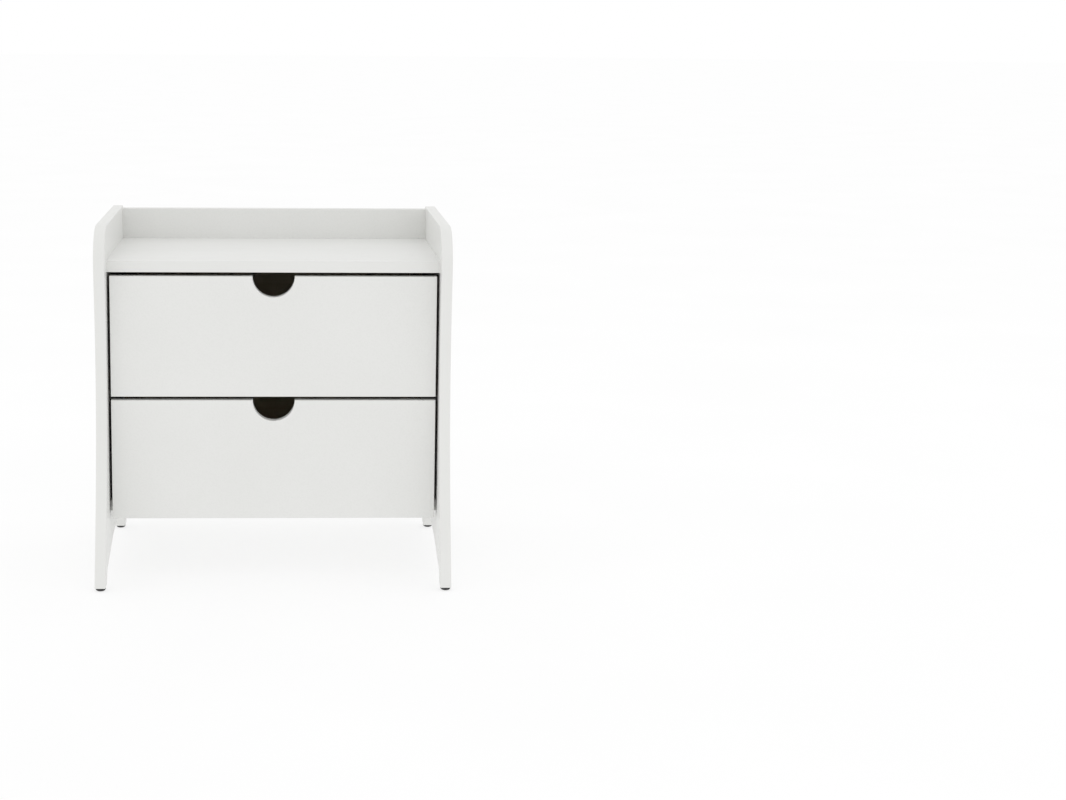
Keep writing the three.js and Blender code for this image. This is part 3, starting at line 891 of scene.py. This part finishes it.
def bent_outline(section):
    """The closed outline of a member, as (distance from the wall, height) points in metres."""
    half_sheet = section["sheet"] / 2
    inward = math.copysign(half_sheet, section["tip"] - section["web"])
    web = section["web"] + inward
    rim = section["half"] - half_sheet
    if section["lip"]:
        tip = section["tip"] - inward
        path = [(tip, section["half"] - section["lip"]), (tip, rim), (web, rim)]
    else:
        path = [(section["tip"], rim), (web, rim)]
    path += [(u, -v) for u, v in reversed(path)]
    path = [Vector(p) for p in path]
    centre_line = [path[0]]
    for before, corner, after in zip(path, path[1:], path[2:]):
        centre_line += fillet(before, corner, after, section["bend"])
    centre_line.append(path[-1])
    near, far = [], []
    for i, here in enumerate(centre_line):
        ahead = centre_line[min(i + 1, len(centre_line) - 1)]
        behind = centre_line[max(i - 1, 0)]
        aside = left_normal(ahead - behind) * half_sheet
        near.append(here + aside)
        far.append(here - aside)
    return [p * MM for p in near + far[::-1]]


def fillet(before, corner, after, radius):
    """Points of the round bend that replaces a square corner."""
    back, on = (before - corner).normalized(), (after - corner).normalized()
    middle = corner + (back + on) * radius
    points = []
    for i in range(BEND_STEPS + 1):
        a = math.radians(90 * i / BEND_STEPS)
        points.append(middle - on * radius * math.cos(a) - back * radius * math.sin(a))
    return points


def bent_member(name, section, side, z, y0, y1, materials):
    """A bent sheet from y0 to y1, at a height on the wall of a side panel."""
    sign, wall = SIDES[side], inner_x(side)
    outline = bent_outline(section)
    work = bmesh.new()
    rows = [[work.verts.new((wall - sign * p.x, y, z + p.y)) for p in outline] for y in (y0, y1)]
    for i in range(len(outline)):
        j = (i + 1) % len(outline)
        work.faces.new((rows[0][i], rows[0][j], rows[1][j], rows[1][i]))
    work.faces.new(rows[0])
    work.faces.new(rows[1])
    return object_from(name, mesh_from(name, work), materials)


SCREW_HOLE_R = 2.3 * MM
ACCESS_HOLE_R = 5.5 * MM
ACCESS_HOLE_LENGTH = 14 * MM
HOLE_SHARES = (0.12, 0.5, 0.86)  # where a member's holes are, as shares of its length


def member(kind, section, level, side, body, hole_r, hole_length):
    """A slide member with its row of holes: round ones, or slots if they have a length between
    their round ends. Returns the member's node."""
    node = f"slide_{kind}_{level}_{side}"
    low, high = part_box(node)
    z = (low.z + high.z) / 2
    piece = bent_member(f"{node}.rail", section, side, z, low.y, high.y, BLACK_STEEL)
    cutters = []
    for y in hole_places(low, high):
        y0, y1 = y - hole_length / 2, y + hole_length / 2
        for end in sorted({y0, y1}):  # a round hole has one
            at = Vector((low.x - PAST, end, z))
            cutters.append(cutter_drill(at, (1, 0, 0), hole_r, high.x - low.x + 2 * PAST))
        if hole_length > 0:
            cutters.append(cutter_box((low.x - PAST, y0, z - hole_r), (high.x + PAST, y1, z + hole_r)))
    install(carve(piece, *cutters), body, "black_steel", node, crisp=SLIDE_CRISP_ANGLE)
    return node


def hole_places(low, high):
    return [low.y + (high.y - low.y) * share for share in HOLE_SHARES]


def slide_screws(node, side, body, off, direction, head):
    """Screws through a member's web, their heads starting at a distance off the wall."""
    low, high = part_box(node)
    x, z = inner_x(side) - SIDES[side] * off, (low.z + high.z) / 2
    heads = [screw(Vector((x, y, z)), (direction, 0, 0), **head) for y in hole_places(low, high)]
    install(joined(f"{node}.screws", heads, STEEL), body, "zinc_steel")


def ball_strip(kind, section, level, side):
    """A ball retainer: a thin bent strip with a row of steel balls along each flange."""
    node = f"ball_strip_{kind}_{level}_{side}"
    low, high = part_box(node)
    z = (low.z + high.z) / 2
    strip = bent_member("strip", section, side, z, low.y, high.y, STEEL)
    off, height = BALL_ROWS[kind]
    x = inner_x(side) - SIDES[side] * off
    work = bmesh.new()
    for row in (-1, 1):
        for i in range(BALLS_PER_ROW):
            y = (low.y + high.y) / 2 + (i - (BALLS_PER_ROW - 1) / 2) * BALL_PITCH
            place = Matrix.Translation((x, y, z + row * height))
            bmesh.ops.create_icosphere(work, subdivisions=BALL_DIVISIONS, radius=BALL_R,
                                       matrix=place)
    balls = object_from("balls", mesh_from("balls", work), STEEL)
    piece = joined(f"{node}.strip", [strip, balls], STEEL)
    install(piece, f"balls_{kind}_{level}_{side}", "zinc_steel", node)


def slides():
    for level in LEVELS:
        for side, sign in SIDES.items():
            drawer = f"drawer_{level}"
            outer = member("outer", OUTER, level, side, "cabinet", SCREW_HOLE_R, 0)
            member("middle", MIDDLE, level, side, f"middle_{level}_{side}", ACCESS_HOLE_R,
                   ACCESS_HOLE_LENGTH)
            inner = member("inner", INNER, level, side, drawer, SCREW_HOLE_R, 0)
            # In the outer member the heads are sunk flush, because the ball strip passes over them.
            slide_screws(outer, side, "cabinet", OUTER["web"] * MM, -sign, CABINET_SCREW)
            slide_screws(inner, side, drawer, (INNER["web"] - INNER["sheet"]) * MM, sign,
                         DRAWER_SCREW)
            ball_strip("outer", OUTER_STRIP, level, side)
            ball_strip("inner", INNER_STRIP, level, side)


# ---------------------------------------------------------------- studio
def studio():
    """An even white room with a pale floor and two soft lights."""
    scene = bpy.context.scene
    scene.view_settings.view_transform = "Standard"
    scene.view_settings.look = "None"
    world = bpy.data.worlds.new("studio")
    scene.world = world
    world.use_nodes = True
    background = world.node_tree.nodes["Background"]
    background.inputs["Color"].default_value = (1, 1, 1, 1)
    background.inputs["Strength"].default_value = 1.0

    work = bmesh.new()
    bmesh.ops.create_circle(work, cap_ends=True, radius=FLOOR_R, segments=FLOOR_STEPS)
    floor = object_from("floor", mesh_from("floor", work), [studio_floor()])

    x, y, z = LIGHT_AT
    for side, sign in SIDES.items():
        soft_light(side, (sign * x, y, z))


def soft_light(name, at):
    """A large square light, aimed at the middle of the object."""
    data = bpy.data.lights.new(name, "AREA")
    data.shape = "SQUARE"
    data.size = LIGHT_SIZE
    data.energy = LIGHT_POWER
    lamp = bpy.data.objects.new(name, data)
    bpy.context.scene.collection.objects.link(lamp)
    lamp.location = at
    aim = (cad_low + cad_high) / 2 - Vector(at)
    lamp.rotation_mode = "QUATERNION"
    lamp.rotation_quaternion = aim.to_track_quat("-Z", "Y")


def camera():
    """The camera, turned to the right by its pan, then down by its tilt, then rolled."""
    data = bpy.data.cameras.new("camera")
    data.sensor_width = CAMERA_SENSOR
    data.lens = CAMERA_LENS
    data.shift_x = CAMERA_SHIFT_X
    data.clip_end = CAMERA_REACH
    cam = bpy.data.objects.new("camera", data)
    bpy.context.scene.collection.objects.link(cam)
    pan, tilt, roll = map(math.radians, (CAMERA_PAN, CAMERA_TILT, CAMERA_ROLL))
    ahead = Vector((math.sin(pan) * math.cos(tilt), math.cos(pan) * math.cos(tilt), -math.sin(tilt)))
    level_right = Vector((math.cos(pan), -math.sin(pan), 0))
    level_up = level_right.cross(ahead)
    right = level_right * math.cos(roll) + level_up * math.sin(roll)
    up = level_up * math.cos(roll) - level_right * math.sin(roll)
    turn = Matrix((right, up, -ahead)).transposed()
    cam.matrix_world = Matrix.Translation(CAMERA_AT) @ turn.to_4x4()
    bpy.context.scene.camera = cam


camera()
studio()
for side, sign in SIDES.items():
    side_panel(side, sign)
    dowel(side)
    for end in ENDS:
        glide(side, end)
top_board()
bottom_board()
gallery_rail()
back_panel()
cams_and_bolts()
for level in LEVELS:
    drawer_front(level)
    for side, sign in SIDES.items():
        drawer_side(level, side, sign)
    drawer_back(level)
    drawer_bottom(level)
slides()
